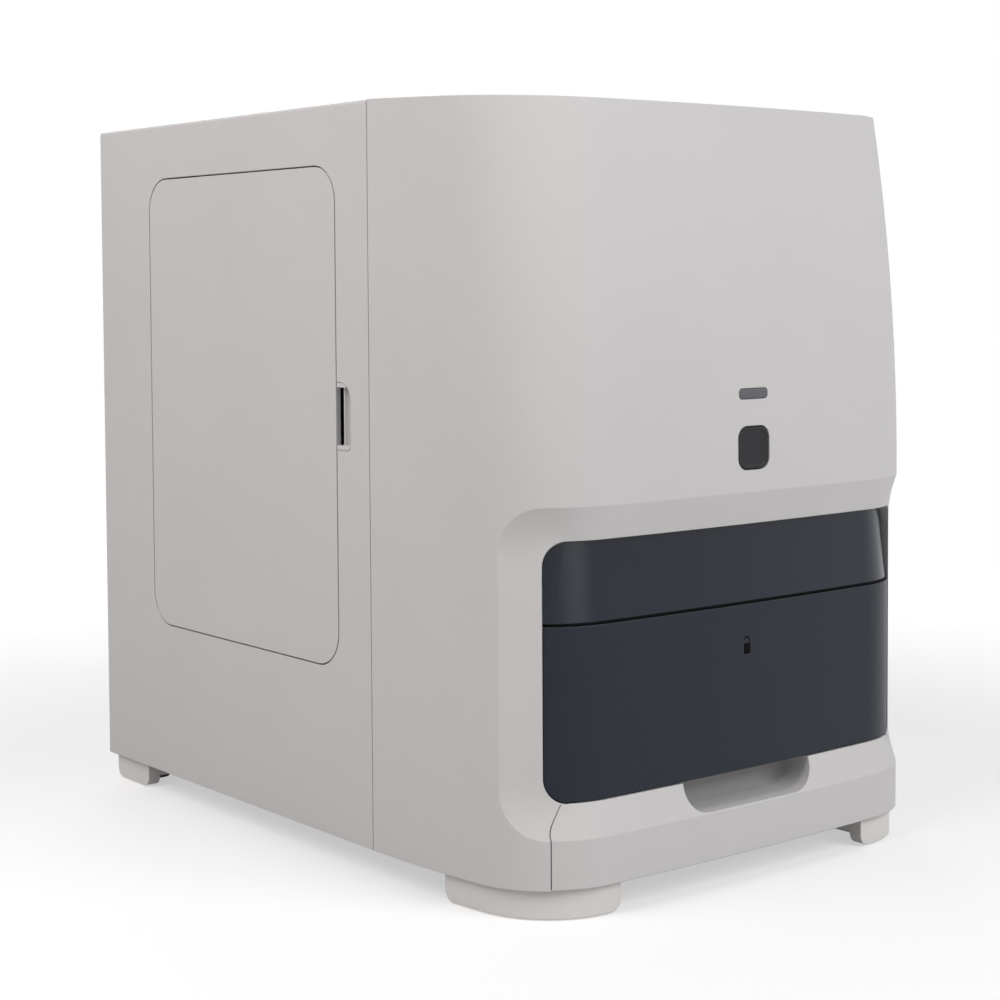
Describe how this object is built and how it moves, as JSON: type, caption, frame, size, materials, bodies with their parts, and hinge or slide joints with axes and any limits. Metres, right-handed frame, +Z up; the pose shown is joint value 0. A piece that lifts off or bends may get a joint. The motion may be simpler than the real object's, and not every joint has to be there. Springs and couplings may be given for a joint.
{
  "type": "benchtop chemistry analyzer",
  "caption": "Benchtop chemistry analyzer with a leaning front cover, motorised sample drawer, waste drawer, start button and a hinged service door on its left side.",
  "frame": {"origin": "centre of the footprint on the table, under the feet", "axes": "+Z up, the front face looks along -Y, +X to the right of someone facing the front"},
  "size_m": [0.255, 0.352, 0.3415],
  "materials": {
    "light_housing": "fine matte texture",
    "dark_panel": "smooth satin",
    "button_cap": "soft satin",
    "lamp_window": "smooth translucent grey",
    "grey_moulding": "moulded satin",
    "circuit_board": "solder mask",
    "steel_sheet": "powder coat",
    "bright_steel": "zinc plated",
    "brass_gear": "machined",
    "white_nylon": "moulded nylon",
    "black_motor": "black coat",
    "black_plastic": "moulded satin",
    "heater_aluminium": "anodised",
    "foot_rubber": "matte"
  },
  "bodies": {
    "root": {"front_cover": "light_housing", "lamp_lens": "lamp_window", "switch_board": "circuit_board", "waste_guide_left": "grey_moulding", "waste_guide_right": "grey_moulding", "drawer_rail_left": "bright_steel", "drawer_rail_right": "bright_steel", "drive_motor": "black_motor", "main_casing": "light_housing", "finger_cup": "light_housing", "door_hinges": "bright_steel", "door_hinge_pins": "bright_steel", "door_magnet": "black_motor", "rear_panel": "steel_sheet", "panel_screws": "bright_steel", "base_tray": "steel_sheet", "front_foot_left": "light_housing", "front_foot_right": "light_housing", "rear_foot_left": "light_housing", "rear_foot_right": "light_housing", "foot_pads": "foot_rubber", "side_frame_left": "steel_sheet", "side_frame_right": "steel_sheet", "drive_shelf": "steel_sheet", "upper_deck": "steel_sheet", "incubator_base": "heater_aluminium", "incubator_motor": "black_motor", "slide_reader": "black_motor", "pipettor_gantry": "steel_sheet", "guide_rods": "bright_steel", "gantry_motor": "black_motor", "power_supply": "steel_sheet", "board_standoffs": "white_nylon", "main_board": "circuit_board", "power_inlet": "black_plastic", "switch_housing": "black_plastic", "network_port": "black_plastic", "fan_frame": "black_plastic", "fan_guard": "bright_steel"},
    "button": {"start_button": "button_cap"},
    "sample_drawer": {"drawer_fascia_lower": "dark_panel", "drawer_fascia_upper": "dark_panel", "drawer_lock_lamp": "lamp_window", "sample_tray": "grey_moulding", "drawer_runner_left": "bright_steel", "drawer_runner_right": "bright_steel", "drawer_rack": "white_nylon"},
    "pinion": {"drive_pinion": "brass_gear"},
    "waste_drawer": {"waste_drawer_front": "light_housing", "waste_bin": "grey_moulding"},
    "door": {"access_door": "light_housing", "door_strike": "bright_steel"},
    "carousel": {"incubator_rotor": "grey_moulding"},
    "carriage": {"pipette_carriage": "grey_moulding"},
    "head": {"pipette_head": "grey_moulding", "pipette_nozzle": "white_nylon"},
    "rocker": {"power_rocker": "black_plastic"},
    "fan": {"fan_rotor": "black_plastic"}
  },
  "joints": [
    {"name": "sample_drawer_slide", "type": "slide", "parent": "root", "child": "sample_drawer", "axis": [0, -1, 0], "range_m": [0, 0.12]},
    {"name": "pinion_spin", "type": "hinge", "parent": "root", "child": "pinion", "pos_m": [0.058, -0.121, 0.104], "axis": [0, 0, 1], "range_deg": [-660, 2]},
    {"name": "waste_drawer_slide", "type": "slide", "parent": "root", "child": "waste_drawer", "axis": [0, -1, 0], "range_m": [0, 0.14]},
    {"name": "access_door_hinge", "type": "hinge", "parent": "root", "child": "door", "pos_m": [-0.1249, 0.1053, 0.20205], "axis": [0, 0, -1], "range_deg": [0, 100]},
    {"name": "start_button_press", "type": "slide", "parent": "root", "child": "button", "axis": [0, 1, 0], "range_m": [0, 0.0015], "stiffness_N_per_m": 600},
    {"name": "carousel_spin", "type": "hinge", "parent": "root", "child": "carousel", "pos_m": [-0.03, 0.003, 0.18], "axis": [0, 0, 1], "continuous": true},
    {"name": "carriage_slide", "type": "slide", "parent": "root", "child": "carriage", "axis": [0, 1, 0], "range_m": [-0.064, 0.073]},
    {"name": "head_slide", "type": "slide", "parent": "carriage", "child": "head", "axis": [0, 0, 1], "range_m": [-0.1, 0]},
    {"name": "power_rocker_tilt", "type": "hinge", "parent": "root", "child": "rocker", "pos_m": [-0.044, 0.169, 0.053], "axis": [1, 0, 0], "range_deg": [-8, 8]},
    {"name": "fan_spin", "type": "hinge", "parent": "root", "child": "fan", "pos_m": [0.058, 0.159, 0.108], "axis": [0, 1, 0], "continuous": true}
  ],
  "couplings": [
    {"joint": "pinion_spin", "follows": "sample_drawer_slide", "rad_per_m": -95.238}
  ]
}
